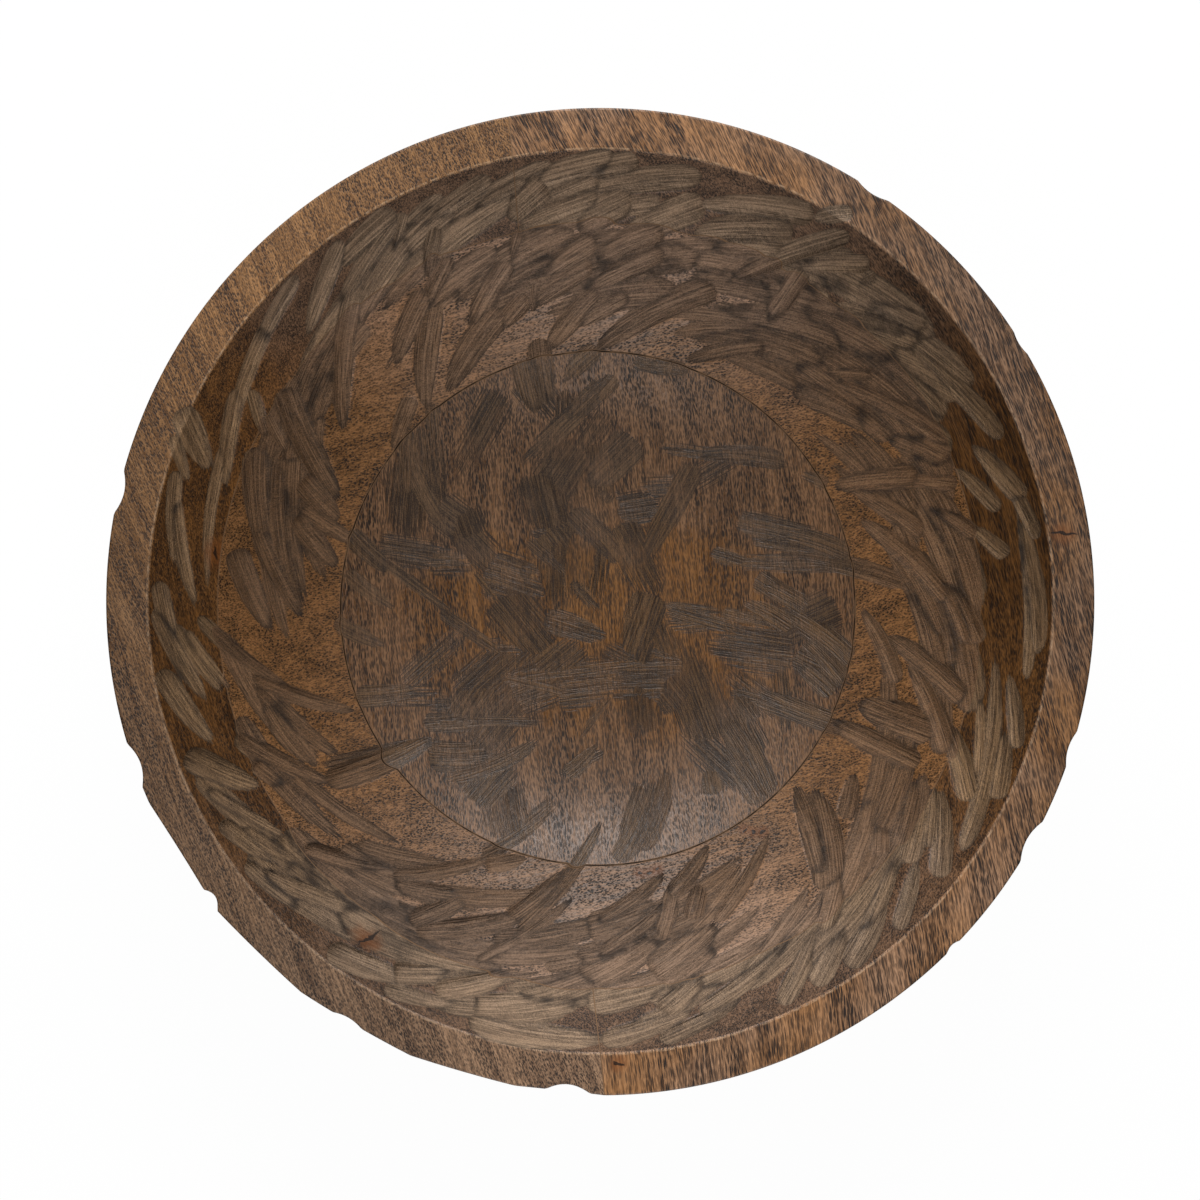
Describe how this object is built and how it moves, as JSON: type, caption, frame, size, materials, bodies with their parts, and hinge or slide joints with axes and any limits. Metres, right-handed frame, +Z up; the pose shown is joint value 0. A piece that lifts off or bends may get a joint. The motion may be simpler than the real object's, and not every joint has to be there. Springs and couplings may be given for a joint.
{
  "type": "dough bowl",
  "caption": "Round wooden dough bowl glued up from stacked cross-grained boards, with a flat rim band and a hand-gouged hollow, for mixing, proving and serving.",
  "frame": {"origin": "centre of the flat foot, on the surface that the bowl stands on", "axes": "+Z up out of the hollow, +X to the right and +Y to the top of the picture, which looks down into the bowl"},
  "size_m": [0.3, 0.3, 0.09],
  "materials": {
    "base_wood": "brown stained and waxed, gouge marks",
    "middle_wood": "brown stained and waxed, gouge marks",
    "rim_wood_left": "brown stained and waxed, flat sanded band on top, gouge marks inside",
    "rim_wood_right": "brown stained and waxed, flat sanded band on top, gouge marks inside",
    "glue": "dark dried glue line"
  },
  "bodies": {
    "root": {"base_board": "base_wood", "lower_glue_film": "glue", "middle_ring": "middle_wood", "upper_glue_film": "glue", "rim_board_left": "rim_wood_left", "rim_board_right": "rim_wood_right", "rim_joint_glue_back": "glue", "rim_joint_glue_front": "glue"}
  },
  "joints": []
}
